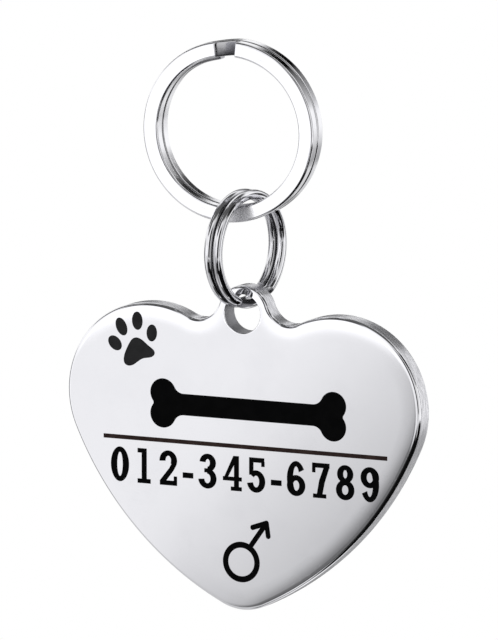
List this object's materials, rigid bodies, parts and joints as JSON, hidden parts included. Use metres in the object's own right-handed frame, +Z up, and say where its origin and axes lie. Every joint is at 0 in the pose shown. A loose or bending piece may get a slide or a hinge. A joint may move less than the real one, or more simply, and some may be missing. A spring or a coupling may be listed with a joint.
{
  "type": "pet id tag",
  "caption": "Heart-shaped pet id tag: a polished plate with a lug and hole, hanging from a small split ring that hangs in a larger split ring for a collar.",
  "frame": {"origin": "the point inside the top of the large split ring where a collar carries it", "axes": "+Z up along the hanging part, +X across the heart plate to the right as its marked face is seen, +Y back through the plate; the marked face looks along -Y"},
  "size_m": [0.0432, 0.0132, 0.063],
  "materials": {
    "plate_steel": "mirror-polished stainless steel",
    "ring_steel": "bright spring steel, polished"
  },
  "bodies": {
    "large_ring": {"large_ring": "ring_steel"},
    "small_ring": {"small_ring": "ring_steel"},
    "heart_tag": {"heart_tag": "plate_steel"}
  },
  "joints": [
    {"name": "ring_swing", "type": "hinge", "parent": "large_ring", "child": "small_ring", "pos_m": [0.00149, 0.00013, -0.02128], "axis": [0.9863, -0.165, 0], "range_deg": [-110, 110]},
    {"name": "tag_sway", "type": "hinge", "parent": "small_ring", "child": "heart_tag", "pos_m": [0.00169, 0.00013, -0.02833], "axis": [0, 1, 0], "range_deg": [-50, 50]}
  ]
}
